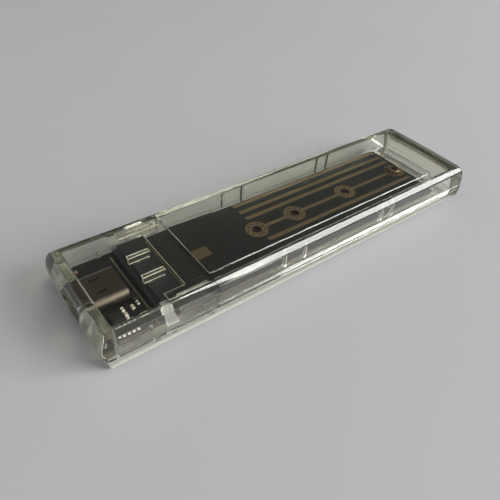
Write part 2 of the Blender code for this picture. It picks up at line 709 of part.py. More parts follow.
# Retaining nut, turned, sitting in the longest card's hole
nut_z = land_top + SOLDER
card_z = mouth_z0 + 0.5 * (SOCKET_MOUTH_H - CARD_T)
spigot_r = SCREW_HOLE_R - NUT_SPIGOT_FIT
nut_foot = board_under + NUT_FOOT_RISE
nut_profile = [(NUT_BORE_R, nut_foot), (spigot_r, nut_foot), (spigot_r, nut_z),
               (NUT_FLANGE_R, nut_z), (NUT_FLANGE_R, nut_z + NUT_FLANGE_T), (NUT_R, nut_z + NUT_FLANGE_T),
               (NUT_R, card_z - NUT_CHAMFER), (NUT_R - NUT_CHAMFER, card_z), (NUT_BORE_R, card_z)]
nut = new_object("card_nut", moved(turned(nut_profile), DATUM_X + CARD_LENGTHS[-1]), BRASS, base_body)
smooth(nut)


def chip(name, x, y, w, d, h, mat, below=False, edge=CHIP_EDGE):
    """Small moulded package with a narrow draft on its sides, on or under the board."""
    z0 = board_under - SOLDER if below else BOARD_TOP + SOLDER
    sign = -1.0 if below else 1.0
    cx = DATUM_X + x
    low = rounded(w, d, edge, 1, cx, y)
    top = rounded(w - 2 * edge, d - 2 * edge, edge, 1, cx, y)
    loops = [[(px, py, z0) for px, py in low], [(px, py, z0 + sign * (h - edge)) for px, py in low],
             [(px, py, z0 + sign * h) for px, py in top]]
    if below:
        loops.reverse()
    return new_object(name, loft(loops), mat, base_body)


# Parts under the board
chip("bridge_chip", *BRIDGE_CHIP, CHIP_BLACK, True)
chip("flash_chip", *FLASH_CHIP, CHIP_BLACK, True)
chip("crystal", *CRYSTAL, CAN, True)
chip("inductor", *INDUCTOR, FERRITE, True, COIL_EDGE)
chip("regulator_chip", *REGULATOR_CHIP, CHIP_BLACK, True)

# Parts beside the receptacle
chip("esd_chip", *ESD_CHIP, CHIP_BLACK)
chip("port_controller_chip", *PORT_CONTROLLER_CHIP, CHIP_BLACK)
chip("activity_lamp", *ACTIVITY_LAMP, LAMP)
for k, (x, y) in enumerate(CAP_PLACES):
    w, d, h = CAP_SIZE
    if k in LONG_CAPS:
        d = LONG_CAP_D
    chip("capacitor_%d" % (k + 1), x, y, w, d, h, CERAMIC, False, SMALL_EDGE)
for k, (x, y) in enumerate(RES_PLACES):
    chip("resistor_%d" % (k + 1), x, y, *RES_SIZE, RESISTOR_DARK, False, SMALL_EDGE)
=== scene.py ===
import math

import bpy
import numpy as np
from mathutils import Matrix, Vector


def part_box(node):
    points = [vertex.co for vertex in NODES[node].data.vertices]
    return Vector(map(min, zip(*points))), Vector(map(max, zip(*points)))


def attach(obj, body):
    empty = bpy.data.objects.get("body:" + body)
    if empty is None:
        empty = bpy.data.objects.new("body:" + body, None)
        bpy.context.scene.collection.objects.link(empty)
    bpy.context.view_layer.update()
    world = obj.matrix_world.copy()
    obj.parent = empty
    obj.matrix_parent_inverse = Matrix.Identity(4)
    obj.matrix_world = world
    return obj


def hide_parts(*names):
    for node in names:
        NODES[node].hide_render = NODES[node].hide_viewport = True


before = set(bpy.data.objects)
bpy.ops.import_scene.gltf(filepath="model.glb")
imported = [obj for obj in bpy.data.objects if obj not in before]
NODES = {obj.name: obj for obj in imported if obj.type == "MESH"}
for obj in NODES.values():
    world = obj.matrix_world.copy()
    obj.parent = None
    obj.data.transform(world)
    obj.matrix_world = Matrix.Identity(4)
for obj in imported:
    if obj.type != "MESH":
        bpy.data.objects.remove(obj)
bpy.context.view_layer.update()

MM = 0.001


def span(node):
    """Lowest and highest corner of a CAD node in mm."""
    low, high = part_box(node)
    return np.array(low) / MM, np.array(high) / MM


# Places taken from the frame, in mm as all sizes here
HEAD_LOW, HEAD_HIGH = span("head_cover")
LID_HIGH = span("sliding_lid")[1]
BOARD_LOW, BOARD_HIGH = span("main_board")
SOCKET_LOW, SOCKET_HIGH = span("m2_socket")
PORT_LOW, PORT_HIGH = span("usb_shell")
X_LEFT = HEAD_LOW[0]
X_RIGHT = -X_LEFT
HALF_W = LID_HIGH[1]
LID_TOP = LID_HIGH[2]
HEAD_TOP = HEAD_HIGH[2]
BOARD_X1 = BOARD_HIGH[0]
BOARD_HALF = BOARD_HIGH[1]
BOARD_UNDER = BOARD_LOW[2]
PORT_Z = 0.5 * (PORT_LOW[2] + PORT_HIGH[2])

# Copper on the board, and the places that follow the datum of the card lengths
LAND_RISE = 0.1
TRACK_RISE = 0.07
BOARD_TOP = BOARD_HIGH[2] - LAND_RISE
BOARD_END_AT = 82.95
SPLIT_AT = 9.3
CARD_LENGTHS = (30.0, 42.0, 60.0, 80.0)
DATUM = BOARD_X1 - BOARD_END_AT
SPLIT_X = DATUM + SPLIT_AT

# Both sides of the case, +Y first
SIDES = (1, -1)

# Clearances, and how far a joined solid runs into its neighbour or a cutting one past a face
FIT = 0.3
HAIRLINE = 0.06
WELD = 0.02
BITE = 0.2
CUT_PAST = 1.0
CAVITY_PAST = 0.5
MOUTH_PAST = 2.0

# Ends in side view: height of the foremost place, set-back at the top and at the foot
PORT_NOSE = (5.6, 1.6, 1.1)
FAR_NOSE = (3.0, 3.3, 0.4)

# Corners and edges of the shell; a corner's radius shrinks by a share of its side's inset
PORT_CORNER_R = 0.8
FAR_CORNER_R = 1.5
MIN_CORNER_R = 0.25
CORNER_SHRINK = 0.5
PORT_EDGE_R = 0.3
FAR_EDGE_R = 0.7
FOOT_EDGE_R = 0.6
EDGE_BREAK = 0.12
END_BOW = 0.2

# Top edge of the long sides: arcs from one slope to the next in degrees, each with its radius
SIDE_EDGE_ARCS = ((0, 44, 0.25), (44, 68, 3.8), (68, 90, 0.5))

# Parting line, the rim beside it, and the slanted split between head cover and lid
PARTING = 2.5
RIM_TOP = 3.75
RIM_STEP = 0.14
RIM_R = 0.14
SPLIT_LEAN = 0.37

# Walls
SIDE_WALL = 1.9
PORT_WALL = 3.4
END_WALL = 4.4
END_DRAFT = 1.8
FLOOR = 1.2
HEAD_ROOF = 1.0
LID_ROOF = 1.1
INNER_R = 1.0
INNER_BOW = 0.5
PORT_INNER_BOW = 0.05
INNER_HALF = HALF_W - SIDE_WALL
INNER_X0 = X_LEFT + PORT_WALL
INNER_X1 = X_RIGHT - END_WALL
HEAD_CEILING = HEAD_TOP - HEAD_ROOF
LID_CEILING = LID_TOP - LID_ROOF
LID_FILLET = 0.45
HEAD_FILLET = 0.35
TRAY_FILLET = 0.3

# Raised panel of the lid, with the gentle shoulder round it
PANEL_HALF = 10.4
PANEL_END = DATUM + 82.7
PANEL_BOW = 0.25
PANEL_STEP = 0.25
PANEL_R = 2.2
PANEL_FLARE = 0.2
PANEL_LEAD = 0.12
SHOULDER_DROP = 0.1

# Tongue of the lid, which runs in under the head cover
TONGUE_X = DATUM + 4.1
TONGUE_T = 0.8
TONGUE_TOP = HEAD_CEILING - HAIRLINE
TONGUE_LOW = TONGUE_TOP - TONGUE_T
TONGUE_HALF = INNER_HALF - FIT
TONGUE_LEAD = 0.14
TONGUE_RAMP = 12.0
PLATE_DROP = 0.1
PLATE_TOP = TONGUE_TOP - PLATE_DROP

# Arms of the tongue, with a guide block and a frosted collar on each
ARM_X0 = DATUM - 0.7
ARM_X1 = SPLIT_X - 0.4
ARM_INNER_Y = 9.5
ARM_RAISE = 0.25
GUIDE_X0 = DATUM + 1.5
GUIDE_FOOT_X1 = DATUM + 9.3
GUIDE_TOP_X1 = DATUM + 7.6
GUIDE_FOOT_Z = 5.1
GUIDE_T = 1.0
GUIDE_SETBACK = 0.05
COLLAR_X0 = DATUM + 1.4
COLLAR_X1 = DATUM + 8.6
COLLAR_T = 1.05
COLLAR_DROP = 0.75
COLLAR_RISE = 0.1

# Ribs and runners of the lid
RIB_AT = (28.0, 34.0, 60.0, 64.0)
RIB_W = 0.8
RIB_TIP_W = 0.48
RIB_DEPTH = 0.65
RIB_FOOT_Z = 4.2
RUNNER_X0 = SPLIT_X + 0.4
RUNNER_X1 = DATUM + 85.5
RUNNER_LEAD_X0 = SPLIT_X + 1.2
RUNNER_LEAD_X1 = DATUM + 84.3
RUNNER_TIP_Y = 10.65
RUNNER_ROOT_Y = 12.2
RUNNER_LIFT = 0.25
RUNNER_TOP = 0.7

# Port opening, bars and slanted stops of the head cover
PORT_W = 8.94
PORT_H = 3.2
PORT_R = 1.3
PORT_FIT = 0.22
PORT_CUT_PAST = 1.5
BAR_X0 = DATUM - 2.0
BAR_X1 = DATUM + 2.8
BAR_Y = (3.15, -3.45)
BAR_HALF = 0.5
BAR_FIT = 0.1
BAR_FOOT = SOCKET_HIGH[2] + BAR_FIT
STOP_FOOT = (DATUM - 2.0, DATUM + 0.8)
STOP_TOP = (DATUM - 2.7, DATUM - 1.1)
STOP_FOOT_Z = 3.4
STOP_DEPTH = 0.7
STOP_ROOT = 0.3

# Rails, board stops, ledges, pins and tab pockets of the tray
RAIL_X0 = DATUM + 7.0
RAIL_X1 = DATUM + 86.5
RAIL_INNER_Y = 9.3
RAIL_STEP_Y = 10.5
RAIL_OUTER_Y = 11.7
RAIL_TOP = BOARD_UNDER - FIT
BOARD_STOP_Y = 8.3
BOARD_STOP_HALF = 1.5
BOARD_STOP_FOOT_T = 1.76
BOARD_STOP_T = 1.1
BOARD_STOP_RISE = 0.3
LEDGE_X = DATUM - 9.0
LEDGE_INSET = 1.8
LEDGE_L = 4.0
LEDGE_W = 2.4
LEDGE_R = 0.5
PIN_X = DATUM - 5.3
PIN_Y = 11.43
PIN_R = 0.4
PIN_RISE = 0.55
PIN_BALL_R = 0.42
PIN_BALL_RISE = 0.6
POCKET_AT = ((-4.4, 0.9), (-0.7, 1.0), (8.2, 1.4))
POCKET_DEPTH = 0.9
POCKET_FOOT_Z = 1.2

# Drilled holes, drawn as thin dark discs of painted shade on the board, wider than real ones so that they
# show
DRILL_T = 0.008
VIA_COUNT = 9
VIA_TURN = 0.25
VIA_RING_R = 2.05
VIA_R = 0.3
DOT_R = 0.13
DOT_PITCH = 0.45
DOT_X = (12.0, 15.3)
DOT_Y = (-1.75, 0.9)

# Printed outline beside the socket
PRINT_X = DATUM - 3.5
PRINT_X1 = DATUM - 2.6
PRINT_Y0 = -11.0
PRINT_Y1 = 9.9
PRINT_HALF_W = 0.06
PRINT_LIFT = 0.005
PRINT_T = 0.015

# Contacts and tails of the socket, at its pitch of half a millimetre
PITCH = 0.5
CONTACT_Y = (-8.5, 8.1)
CONTACT_HALF_W = 0.1
CONTACT_BACK = 0.3
CONTACT_OUT = 0.12
CONTACT_DROP = 0.3
CONTACT_LIFT = 0.02
TAIL_Y = (-9.75, 9.6)
TAIL_HALF_W = 0.11
TAIL_OUT = 0.3
TAIL_IN = 0.1
TAIL_T = 0.12

# Tinned ends: share of a part's length under each cap, and how far the cap stands out
CAP_SHARE = 0.33
CAP_LIFT = 0.01
CAP_CLEAR = 0.02


def split_at(z):
    """Place of the split at height z: it leans in a straight line through the thickness of the roof,
    and stays upright below it."""
    return SPLIT_X + SPLIT_LEAN * min(max(HEAD_TOP - z, 0.0), HEAD_ROOF)


# Outlines and edge profiles
def end_plan(tip, half, bow, r, n_bow=14, n_corner=10):
    """Right-hand end of a plan outline from -Y to +Y: the end is a shallow parabola
    x = tip - bow * (y / half)**2, and each corner an arc of radius r that leaves it in line."""
    lean = math.atan(2.0 * bow * (half - r) / (half * half))
    y_end = half - r + r * math.sin(lean)
    cx = tip - bow * (y_end / half) ** 2 - r * math.cos(lean)
    a = np.linspace(lean, math.pi / 2, n_corner + 1)
    upper = np.c_[cx + r * np.cos(a), half - r + r * np.sin(a)]
    y = np.linspace(-y_end, y_end, n_bow + 1)[1:-1]
    middle = np.c_[tip - bow * (y / half) ** 2, y]
    return np.vstack([(upper * (1, -1))[::-1], middle, upper])


def port_plan(tip, half, bow, r):
    """Left-hand end of a plan outline: the right-hand one turned half a turn."""
    return -end_plan(-tip, half, bow, r)


def nose(z, form):
    """Set-back of an end face at height z: quadratic above its foremost height, a squared sine below."""
    tip_z, top, foot = form
    if z > tip_z:
        return top * ((z - tip_z) / (LID_TOP - tip_z)) ** 2
    return foot * math.sin(0.5 * math.pi * (tip_z - z) / tip_z) ** 2


def rim(z):
    """Inset by the rim: a smooth cubic step at its top, and a quarter round on both sides of the
    parting line."""
    t = min(max((z - RIM_TOP) / RIM_R, 0.0), 1.0)
    near = max(1.0 - abs(z - PARTING) / RIM_R, 0.0)
    return RIM_STEP * t * t * (3 - 2 * t) + RIM_R * (1.0 - math.sqrt(1.0 - near * near))


def inset(z, top, r):
    """Inset by a quarter round of radius r at the top edge and of the foot radius below."""
    if z > top - r:
        d = min(z - top + r, r)
        return r - math.sqrt(r * r - d * d) + rim(z)
    if z < FOOT_EDGE_R:
        return FOOT_EDGE_R - math.sqrt(max(FOOT_EDGE_R ** 2 - (FOOT_EDGE_R - z) ** 2, 0.0))
    return rim(z)


def arc_profile(arcs, per_arc=7):
    """Edge profile of arcs that follow each other in line: depths below the top and insets from the
    wall, each arc adding r times the change of the sine outwards and of the cosine downwards."""
    out, down = [0.0], [0.0]
    for start, end, r in arcs:
        a = np.radians(np.linspace(start, end, per_arc))
        out += list(out[-1] + r * (np.sin(a[1:]) - math.sin(a[0])))
        down += list(down[-1] + r * (math.cos(a[0]) - np.cos(a[1:])))
    return np.array(down), out[-1] - np.array(out)


EDGE_DEPTHS, EDGE_INSETS = arc_profile(SIDE_EDGE_ARCS)


def side_inset(z, top):
    """Inset of the long sides at height z: read off the edge profile, and at the foot as at the ends."""
    if z < FOOT_EDGE_R:
        return inset(z, top, 0.0)
    return float(np.interp(top - z, EDGE_DEPTHS, EDGE_INSETS)) + rim(z)


def far_side(z, top):
    """Far end of the outline at height z, set back by its nose and edge round, and its half width."""
    side = side_inset(z, top)
    tip = X_RIGHT - nose(z, FAR_NOSE) - inset(z, top, FAR_EDGE_R)
    corner = max(FAR_CORNER_R - CORNER_SHRINK * side, MIN_CORNER_R)
    return end_plan(tip, HALF_W - side, END_BOW, corner), HALF_W - side


def port_side(z, top):
    """Port end of the outline at height z, set back by its nose and edge round, and its half width."""
    side = side_inset(z, top)
    tip = X_LEFT + nose(z, PORT_NOSE) + inset(z, top, PORT_EDGE_R)
    corner = max(PORT_CORNER_R - CORNER_SHRINK * side, MIN_CORNER_R)
    return port_plan(tip, HALF_W - side, END_BOW, corner), HALF_W - side


def wall_levels(top, n_wall=10):
    """Heights from the parting line up, close together on the rim and on the rounded top edge."""
    edge = (top - EDGE_DEPTHS)[::-1]
    rim_end = RIM_TOP + RIM_R
    foot = np.linspace(PARTING + HAIRLINE, PARTING + RIM_R, 5)
    step = np.linspace(RIM_TOP, rim_end, 7)
    return np.r_[foot, step, np.linspace(rim_end, edge[0], n_wall + 1)[1:-1], edge]


def at_height(plan, z):
    """Plan outline lifted to height z."""
    return np.c_[plan, np.full(len(plan), z)]


def open_end(plan, x, half, z):
    """End outline closed by a straight edge at x, as a loop at height z; half has the sign of the
    side that the outline ends on."""
    return at_height(np.vstack([plan, [(x, half), (x, -half)]]), z)


def rounded(w, h, r, n=6, cx=0.0, cy=0.0):
    """Closed outline of a rectangle, each corner a quarter circle of radius r."""
    a = np.radians(np.linspace(0, 90, n + 1))
    parts = []
    for k, (sx, sy) in enumerate(((1, 1), (-1, 1), (-1, -1), (1, -1))):
        t = a + math.pi / 2 * k
        parts.append(np.c_[cx + sx * (w / 2 - r) + r * np.cos(t), cy + sy * (h / 2 - r) + r * np.sin(t)])
    return np.vstack(parts)


def circle(r, n, cx=0.0, cy=0.0):
    """Closed outline of n points on a circle."""
    a = np.linspace(0, 2 * math.pi, n, endpoint=False)
    return np.c_[cx + r * np.cos(a), cy + r * np.sin(a)]


# Solids, each as its points and faces
def skin(loops):
    """Closed solid through equal loops: quads between neighbours, one face over each end."""
    loops = np.array(loops)
    count, size = loops.shape[:2]
    index = np.arange(count * size).reshape(count, size)
    nxt = np.roll(index, -1, axis=1)
    quads = np.stack([index[:-1], nxt[:-1], nxt[1:], index[1:]], axis=-1).reshape(-1, 4)
    return loops.reshape(-1, 3), quads.tolist() + [index[0][::-1].tolist(), index[-1].tolist()]


def prism(outline, start, end, axis="Z"):
    """Solid of one closed outline run from start to end along an axis."""
    p = np.array(outline, float)
    order = {"Z": [0, 1, 2], "X": [1, 2, 0], "Y": [0, 2, 1]}[axis]
    loops = []
    for t in (start, end):
        loop = np.empty((len(p), 3))
        loop[:, order] = at_height(p, t)
        loops.append(loop)
    return skin(loops)


def turned_over(outline, over):
    """Outline in reverse order where its mirror image is used, so that faces still point outwards."""
    return outline[::-1] if over else outline


def box(x0, x1, y0, y1, z0, z1):
    """Plain block between two places on each axis."""
    return prism([(x0, y0), (x1, y0), (x1, y1), (x0, y1)], z0, z1)


def stepped_block(x0, x1, y0, y1, levels):
    """Block given as heights with the amount that its sides are drawn in there."""
    y0, y1 = sorted((y0, y1))
    loops = []
    for z, d in levels:
        plan = [(x0 + d, y0 + d), (x1 - d, y0 + d), (x1 - d, y1 - d), (x0 + d, y1 - d)]
        loops.append(at_height(np.array(plan), z))
    return skin(loops)


def hung_block(x0, x1, y0, y1, foot, ceiling):
    """Block under a ceiling, with a chamfer round its foot and a small flare at its root."""
    c = EDGE_BREAK
    levels = ((foot, c), (foot + c, 0.0), (ceiling - c, 0.0), (ceiling, -c), (ceiling + BITE, -c))
    return stepped_block(x0, x1, y0, y1, levels)


def ball(r, cx, cy, cz, n=16, m=10, pole=0.06):
    """Sphere as rings at equal steps of the polar angle, radius r sin t at height -r cos t. It stops
    just short of the poles, and small end faces close it."""
    polar = np.linspace(pole, math.pi - pole, m)
    return skin([at_height(circle(r * math.sin(t), n, cx, cy), cz - r * math.cos(t)) for t in polar])


def filleted_cavity(hollow, ceiling, fillet, steps=6):
    """Hollow open below and rounded under its ceiling: its section is drawn in along a quarter circle
    of the fillet's radius."""
    loops = [hollow(PARTING - CAVITY_PAST)]
    for t in np.linspace(0, math.pi / 2, steps):
        loops.append(hollow(ceiling - fillet * (1 - math.sin(t)), fillet * (1 - math.cos(t))))
    return skin(loops)


# Objects from solids
def gather(solids):
    """Several solids as one list of points and faces."""
    points, faces, offset = [], [], 0
    for solid_points, solid_faces in solids:
        points.append(solid_points)
        faces += [[i + offset for i in face] for face in solid_faces]
        offset += len(solid_points)
    return np.vstack(points), faces


def link(name, data):
    """New object of a mesh, lamp or camera in the scene."""
    obj = bpy.data.objects.new(name, data)
    bpy.context.scene.collection.objects.link(obj)
    return obj


def mesh_object(name, solids):
    """Object at the origin with the solids, given in mm, as its mesh."""
    points, faces = gather(solids)
    mesh = bpy.data.meshes.new(name)
    mesh.from_pydata((points * MM).tolist(), [], faces)
    mesh.update()
    return link(name, mesh)


def boolean(obj, solids, operation):
    """Join solids to an object or cut them from it, one tool for all, then drop the tool. Solids that
    overlap each other go in calls of their own."""
    tool = mesh_object(obj.name + "_tool", solids)
    mod = obj.modifiers.new("boolean", "BOOLEAN")
    mod.operation = operation
    mod.solver = "EXACT"
    mod.object = tool
    bpy.context.view_layer.update()
    result = bpy.data.meshes.new_from_object(obj.evaluated_get(bpy.context.evaluated_depsgraph_get()))
    obj.modifiers.clear()
    old = obj.data
    obj.data = result
    bpy.data.objects.remove(tool, do_unlink=True)
    bpy.data.meshes.remove(old)


def soften(obj, angle=30.0):
    """Smooth shading that leaves flat faces flat and edges beyond an angle crisp."""
    obj.data.shade_smooth()
    obj.data.set_sharp_from_angle(angle=math.radians(angle))
    mod = obj.modifiers.new("flat_faces", "WEIGHTED_NORMAL")
    mod.keep_sharp = True
    mod.weight = 100


# Finishes of the clear mouldings, face by face
FINISH_ZONES = []
# The fourth finish is a painted highlight: a milky white that stands for glints on narrow edges and end faces
POLISHED, DRAWN, SATIN, PAINTED_GLINT, ETCHED, BLASTED = range(6)
LEVEL_NORMAL = 0.97
ALONG_NORMAL = 0.5
FOOT_BAND = 0.05
SPLIT_BAND = 0.6

# How far a zone reaches past its faces, and past a single face that has others close by
ZONE_PAST = 0.1
ZONE_TIGHT = 0.01


def finish_zone(finish, x0, x1, y0, y1, z0, z1):
    """Gives the upright faces in a zone in mm one finish; the first zone that holds a face counts."""
    y0, y1 = sorted((y0, y1))
    FINISH_ZONES.append((finish, (x0, y0, z0), (x1, y1, z1)))


def clear_finish(face):
    """Finish of one face. Level faces are polished, but for the etched underside, and so is the split.
    Others take the finish of their zone, and outside the zones ends are satin and walls are drawn."""
    place = face.center / MM
    if abs(face.normal.z) > LEVEL_NORMAL:
        return ETCHED if face.normal.z < 0 and place.z < FOOT_BAND else POLISHED
    if abs(place.x - SPLIT_X) < SPLIT_BAND and abs(face.normal.x) > ALONG_NORMAL:
        return POLISHED
    for finish, low, high in FINISH_ZONES:
        if all(a <= p <= b for a, p, b in zip(low, place, high)):
            return finish
    return SATIN if abs(face.normal.x) > ALONG_NORMAL else DRAWN


def dress(obj, *finishes):
    """Gives an object these materials and no others."""
    obj.data.materials.clear()
    for mat in finishes:
        obj.data.materials.append(mat)


def lay_clear(obj):
    """Gives a clear moulding its finishes, and each face the one of its place."""
    dress(obj, *CLEAR_FINISHES)
    for face in obj.data.polygons:
        face.material_index = clear_finish(face)


# Colour and material helpers
def hex_linear(code):
    """sRGB hex to linear: each channel c goes through ((c + 0.055) / 1.055) ** 2.4, and a dark one
    through c / 12.92."""
    value = np.array([int(code[i:i + 2], 16) for i in (1, 3, 5)]) / 255.0
    linear = np.where(value <= 0.04045, value / 12.92, ((value + 0.055) / 1.055) ** 2.4)
    return (*[float(c) for c in linear], 1.0)


def add(tree, kind, inputs=None, **settings):
    """Adds one node: settings go on the node, inputs are values or sockets to link."""
    node = tree.nodes.new(kind)
    for key, value in settings.items():
        setattr(node, key, value)
    for key, value in (inputs or {}).items():
        if isinstance(value, bpy.types.NodeSocket):
            tree.links.new(value, node.inputs[key])
        else:
            node.inputs[key].default_value = value
    return node


def blank(name):
    """New material with an empty node tree."""
    mat = bpy.data.materials.new(name)
    mat.use_nodes = True
    mat.node_tree.nodes.clear()
    return mat, mat.node_tree


def per_metre(size_mm):
    """Noise scale for features of a real size, since Object coordinates are in metres."""
    return 1000 / size_mm


POLYCARBONATE_IOR = 1.58
FLOW_MM = 9.0
FLOW_DEPTH_MM = 0.6
FLOW_STRENGTH = 0.006
TINT_DENSITY = 45.0


def clear_polycarbonate(name, rough, haze=0.0, milk_colour="#F4F1E2", sent_back=0.5):
    """Clear polycarbonate, injection moulded: bends what is behind it and turns olive in its depth.
    Slow waves of the melt's flow ripple its reflections. Haze mixes in a milky surface, of which one
    share sends light back and the rest lets it through. Lamps shine through it without a dark shadow."""
    mat, tree = blank(name)
    coord = add(tree, "ShaderNodeTexCoord")
    wave = add(tree, "ShaderNodeTexNoise", {
        "Vector": coord.outputs["Object"], "Scale": per_metre(FLOW_MM), "Detail": 1.0})
    bump = add(tree, "ShaderNodeBump", {
        "Height": wave.outputs["Fac"], "Strength": FLOW_STRENGTH, "Distance": FLOW_DEPTH_MM * MM})
    body = add(tree, "ShaderNodeBsdfPrincipled", {
        "Base Color": hex_linear("#FDFDFA"), "Roughness": rough, "IOR": POLYCARBONATE_IOR,
        "Transmission Weight": 1.0, "Normal": bump.outputs["Normal"]})
    surface = body.outputs["BSDF"]
    if haze > 0.0:
        through = add(tree, "ShaderNodeBsdfTranslucent", {"Color": hex_linear(milk_colour)})
        back = add(tree, "ShaderNodeBsdfDiffuse", {"Color": hex_linear(milk_colour)})
        milk = add(tree, "ShaderNodeMixShader", {
            "Fac": sent_back, 1: through.outputs["BSDF"], 2: back.outputs["BSDF"]})
        whole = add(tree, "ShaderNodeMixShader", {"Fac": haze, 1: surface, 2: milk.outputs["Shader"]})
        surface = whole.outputs["Shader"]
    lamps = add(tree, "ShaderNodeBsdfTransparent", {"Color": hex_linear("#F2F2EC")})
    path = add(tree, "ShaderNodeLightPath")
    mix = add(tree, "ShaderNodeMixShader", {
        "Fac": path.outputs["Is Shadow Ray"], 1: surface, 2: lamps.outputs["BSDF"]})
    tint = add(tree, "ShaderNodeVolumeAbsorption", {"Color": hex_linear("#DCDCB8"), "Density": TINT_DENSITY})
    add(tree, "ShaderNodeOutputMaterial", {
        "Surface": mix.outputs["Shader"], "Volume": tint.outputs["Volume"]})
    return mat


# Range that most of a noise's values lie in
NOISE_LOW = 0.3
NOISE_HIGH = 0.7

# A moulded grain is finer than this, and is drawn this coarse so that it shows
GRAIN_MM = 0.3
GRAIN_DEPTH_MM = 0.01


def solid_finish(name, colour, rough, metal=0.0, grain_mm=GRAIN_MM, uneven=0.05, bump_mm=GRAIN_DEPTH_MM):
    """Opaque surface of one colour with fine noise in its roughness and height, at the size of its
    grain. The roughness runs from rough - uneven to rough + uneven."""
    mat, tree = blank(name)
    coord = add(tree, "ShaderNodeTexCoord")
    noise = add(tree, "ShaderNodeTexNoise", {
        "Vector": coord.outputs["Object"], "Scale": per_metre(grain_mm), "Detail": 3.0})
    spread = add(tree, "ShaderNodeMapRange", {
        "Value": noise.outputs["Fac"], "From Min": NOISE_LOW, "From Max": NOISE_HIGH,
        "To Min": rough - uneven, "To Max": rough + uneven})
    bump = add(tree, "ShaderNodeBump", {
        "Height": noise.outputs["Fac"], "Strength": 0.3, "Distance": bump_mm * MM})
    body = add(tree, "ShaderNodeBsdfPrincipled", {
        "Base Color": hex_linear(colour), "Metallic": metal,
        "Roughness": spread.outputs["Result"], "Normal": bump.outputs["Normal"]})
    add(tree, "ShaderNodeOutputMaterial", {"Surface": body.outputs["BSDF"]})
    return mat


COPPER_RISE = 0.03
SPECKLE_MM = 0.5


def board_finish(name):
    """Black solder mask over laminate and copper. What is raised above the mask shows brown through
    it, upright faces show the cut laminate, and fine speckle breaks both tones. The real speckle is
    finer than 0.5 mm and is drawn at that size, so that it shows."""
    mat, tree = blank(name)
    coord = add(tree, "ShaderNodeTexCoord")
    place = add(tree, "ShaderNodeSeparateXYZ", {"Vector": coord.outputs["Object"]})
    geometry = add(tree, "ShaderNodeNewGeometry")
    facing = add(tree, "ShaderNodeSeparateXYZ", {"Vector": geometry.outputs["Normal"]})
    speckle = add(tree, "ShaderNodeTexNoise", {
        "Vector": coord.outputs["Object"], "Scale": per_metre(SPECKLE_MM), "Detail": 4.0})
    mask_tone = add(tree, "ShaderNodeMapRange", {
        "Value": speckle.outputs["Fac"], "From Min": NOISE_LOW, "From Max": NOISE_HIGH})
    mask_colour = add(tree, "ShaderNodeMixRGB", {
        "Fac": mask_tone.outputs["Result"], "Color1": hex_linear("#181918"), "Color2": hex_linear("#1D1E1D")})
    mask = add(tree, "ShaderNodeBsdfPrincipled", {
        "Base Color": mask_colour.outputs["Color"], "Roughness": 0.45, "Specular IOR Level": 0.3})
    tone = add(tree, "ShaderNodeMixRGB", {
        "Fac": speckle.outputs["Fac"], "Color1": hex_linear("#5C4E38"), "Color2": hex_linear("#6A5A42")})
    copper = add(tree, "ShaderNodeBsdfPrincipled", {
        "Base Color": tone.outputs["Color"], "Roughness": 0.42, "Metallic": 0.35})
    raised = add(tree, "ShaderNodeMath", {
        0: place.outputs["Z"], 1: (BOARD_TOP + COPPER_RISE) * MM}, operation="GREATER_THAN")
    top = add(tree, "ShaderNodeMixShader", {
        "Fac": raised.outputs["Value"], 1: mask.outputs["BSDF"], 2: copper.outputs["BSDF"]})
    laminate = add(tree, "ShaderNodeBsdfPrincipled", {"Base Color": hex_linear("#3A2F22"), "Roughness": 0.6})
    level = add(tree, "ShaderNodeMath", {0: facing.outputs["Z"]}, operation="ABSOLUTE")
    flat = add(tree, "ShaderNodeMath", {0: level.outputs["Value"], 1: 0.5}, operation="GREATER_THAN")
    whole = add(tree, "ShaderNodeMixShader", {
        "Fac": flat.outputs["Value"], 1: laminate.outputs["BSDF"], 2: top.outputs["Shader"]})
    add(tree, "ShaderNodeOutputMaterial", {"Surface": whole.outputs["Shader"]})
    return mat


# In the order of the finish numbers
CLEAR_FINISHES = (
    # From polished tool faces: sharp views through roofs, floors and the split
    clear_polycarbonate("polished_polycarbonate", 0.012),
    # Walls drawn along the tool: a breath of haze over what is behind
    clear_polycarbonate("drawn_polycarbonate", 0.02, 0.012),
    # Thick ends from a satin tool: a soft haze
    clear_polycarbonate("satin_polycarbonate", 0.03, 0.08),
    # Narrow edges with a painted highlight: a milky warm white finish that stands for the thin glint lines
    # where edges catch the light
    clear_polycarbonate("painted_glint_polycarbonate", 0.2, 0.85, "#FFFAE6"),
    # Finely etched underside: a white haze that sends most light back, seen as a pale floor
    clear_polycarbonate("etched_polycarbonate", 0.4, 0.9, "#FFFFFF", 0.85),
    # Blasted fittings: white and half see-through
    clear_polycarbonate("blasted_polycarbonate", 0.25, 0.35, "#FFFFFF"),
)

# Cured solder mask on laminate: matt near-black with brown metal showing through
MASK = board_finish("black_solder_mask")
# Nickel-plated steel sheet, drawn: warm grey metal with even, slightly blurred reflections
STEEL = solid_finish("nickel_plated_steel", "#857B6E", 0.3, 1.0, 0.05, 0.02, 0.0005)
# Moulded nylon: dark, with a fine dull grain
SOCKET = solid_finish("moulded_nylon", "#1D1F21", 0.42)
# Turned brass: dull yellow metal
BRASS = solid_finish("turned_brass", "#8A7A60", 0.35, 1.0)
# Gold plate on copper alloy: pale yellow metal that flashes
GOLD = solid_finish("gold_plate", "#D8C79A", 0.3, 1.0)
# Moulded epoxy of chips: black and matt
RESIN = solid_finish("moulded_epoxy", "#151517", 0.5)
# Fired ceramic of the capacitors: matt tan
CERAMIC = solid_finish("fired_ceramic", "#8A7258", 0.5)
# Cast clear resin of the lamp, cloudy when unlit: pale cream
LAMP = solid_finish("cast_lamp_resin", "#D8CFA8", 0.3)
# Solder tin, reflowed: near white, seen mostly by its colour at this size
TIN = solid_finish("reflowed_tin", "#EDE9DF", 0.3, 0.2)
# Screen-printed ink: matt light grey
PRINT = solid_finish("screen_printed_ink", "#8E8C80", 0.6)
